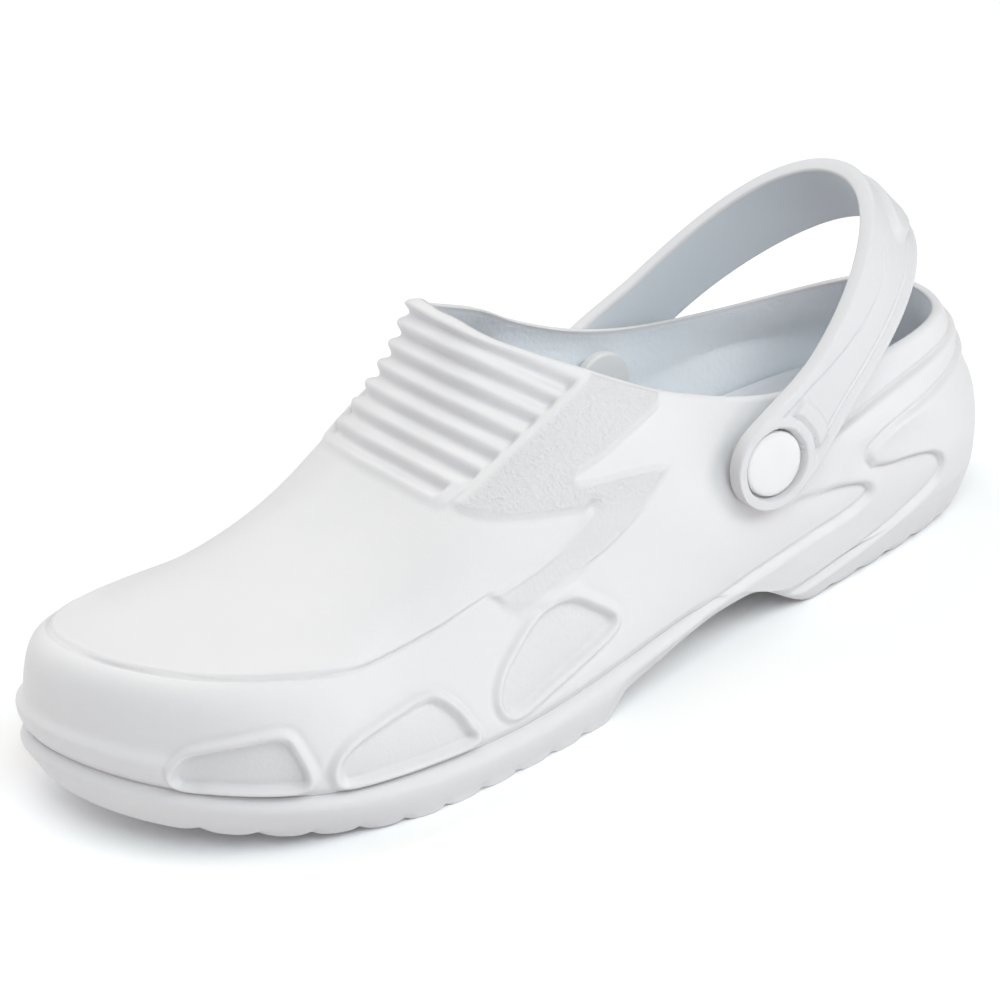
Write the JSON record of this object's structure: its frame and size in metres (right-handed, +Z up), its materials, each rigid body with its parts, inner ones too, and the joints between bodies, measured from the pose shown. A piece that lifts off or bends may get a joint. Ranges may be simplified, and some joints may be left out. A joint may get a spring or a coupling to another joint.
{
  "type": "foam clog",
  "caption": "White moulded foam clog for the left foot: closed ribbed vamp, raised heel counter, grooved tread and a riveted heel strap that swings over the collar.",
  "frame": {"origin": "middle of the bounding box's floor rectangle, on the floor under the tread", "axes": "+X to the toe, +Y to the wearer's left (the outer side of this left shoe), +Z up from the floor"},
  "size_m": [0.2864, 0.1058, 0.1018],
  "materials": {
    "foam": "satin moulded foam",
    "insole_foam": "matt moulded foam",
    "strap_foam": "satin moulded foam",
    "rivet": "smooth moulded plastic"
  },
  "bodies": {
    "root": {"outsole": "foam", "upper": "foam", "insole": "insole_foam", "heel_strap": "strap_foam", "rivet_outer": "rivet", "rivet_cap_outer": "rivet", "rivet_inner": "rivet", "rivet_cap_inner": "rivet"}
  },
  "joints": []
}
